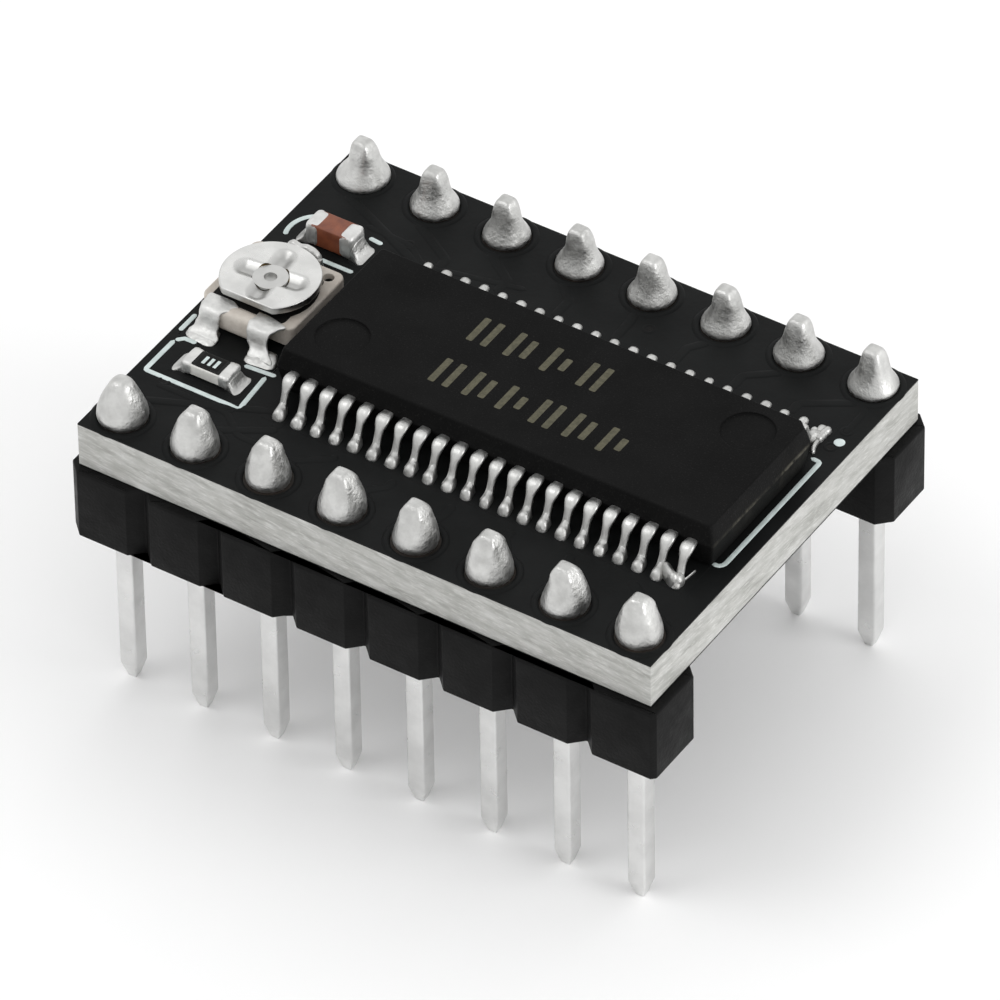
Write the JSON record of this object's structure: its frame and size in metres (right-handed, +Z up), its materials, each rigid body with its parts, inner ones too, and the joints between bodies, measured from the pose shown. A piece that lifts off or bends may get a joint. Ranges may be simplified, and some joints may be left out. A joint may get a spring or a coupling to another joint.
{
  "type": "stepper driver module",
  "caption": "Small plug-in stepper motor driver board with a gull-wing driver chip, a current-setting trimmer and two rows of square pins.",
  "frame": {"origin": "midway between the two pin rows and midway along them, at the height of the pin tips", "axes": "+X along the pin rows, from the trimmer end towards the far end; +Y across the rows; +Z up from the pin tips to the chip's top"},
  "size_m": [0.0204, 0.0152, 0.0117],
  "materials": {
    "glass_epoxy_laminate": "matt",
    "black_solder_mask": "satin",
    "legend_ink": "matt",
    "bare_copper_land": "satin",
    "header_plastic": "matt, moulded",
    "header_pin_tin": "satin tin plate",
    "epoxy_mould_compound": "matt, moulded",
    "tinned_lead_frame": "satin tin plate",
    "silicon": "polished",
    "gold_wire": "bright",
    "trimmer_ceramic": "matt, fired",
    "resistive_film": "matt",
    "trimmer_steel": "satin nickel plate",
    "tinned_terminal": "satin tin plate",
    "brown_capacitor_ceramic": "satin, fired",
    "tan_capacitor_ceramic": "satin, fired",
    "alumina": "matt, fired",
    "resistor_glaze": "satin glaze",
    "solder": "satin"
  },
  "bodies": {
    "module": {"pcb_core": "glass_epoxy_laminate", "solder_mask_top": "black_solder_mask", "solder_mask_bottom": "black_solder_mask", "silkscreen_top": "legend_ink", "copper_lands_top": "bare_copper_land", "copper_lands_bottom": "bare_copper_land", "plated_holes": "bare_copper_land", "plated_vias": "bare_copper_land", "header_housing_front": "header_plastic", "header_housing_rear": "header_plastic", "ic_body": "epoxy_mould_compound", "ic_leads_front": "tinned_lead_frame", "ic_leads_rear": "tinned_lead_frame", "ic_die_pad": "bare_copper_land", "ic_die": "silicon", "ic_bond_wires": "gold_wire", "trimmer_base": "trimmer_ceramic", "trimmer_track": "resistive_film", "trimmer_collector": "trimmer_steel", "trimmer_terminal_left": "tinned_terminal", "trimmer_terminal_right": "tinned_terminal", "capacitor_body": "brown_capacitor_ceramic", "capacitor_terminals": "tinned_terminal", "resistor_substrate": "alumina", "resistor_element": "resistive_film", "resistor_overcoat": "resistor_glaze", "resistor_terminals": "tinned_terminal", "bypass_capacitor_bodies": "tan_capacitor_ceramic", "bypass_capacitor_terminals": "tinned_terminal", "sense_resistor_substrates": "alumina", "sense_resistor_overcoats": "resistor_glaze", "sense_resistor_terminals": "tinned_terminal", "solder_pins_front": "solder", "solder_pins_rear": "solder", "solder_leads_front": "solder", "solder_leads_rear": "solder", "solder_chip_pad": "solder", "solder_trimmer": "solder", "solder_capacitor": "solder", "solder_resistor": "solder", "solder_underside": "solder", "header_pin_front_1": "header_pin_tin", "header_pin_front_2": "header_pin_tin", "header_pin_front_3": "header_pin_tin", "header_pin_front_4": "header_pin_tin", "header_pin_front_5": "header_pin_tin", "header_pin_front_6": "header_pin_tin", "header_pin_front_7": "header_pin_tin", "header_pin_front_8": "header_pin_tin", "header_pin_rear_1": "header_pin_tin", "header_pin_rear_2": "header_pin_tin", "header_pin_rear_3": "header_pin_tin", "header_pin_rear_4": "header_pin_tin", "header_pin_rear_5": "header_pin_tin", "header_pin_rear_6": "header_pin_tin", "header_pin_rear_7": "header_pin_tin", "header_pin_rear_8": "header_pin_tin"},
    "trimmer_disc": {"trimmer_rotor": "trimmer_steel", "trimmer_wiper": "gold_wire"}
  },
  "joints": [
    {"name": "trimmer_turn", "type": "hinge", "parent": "module", "child": "trimmer_disc", "pos_m": [-0.00793, 0, 0.0111], "axis": [0, 0, 1], "range_deg": [-130, 130]}
  ]
}
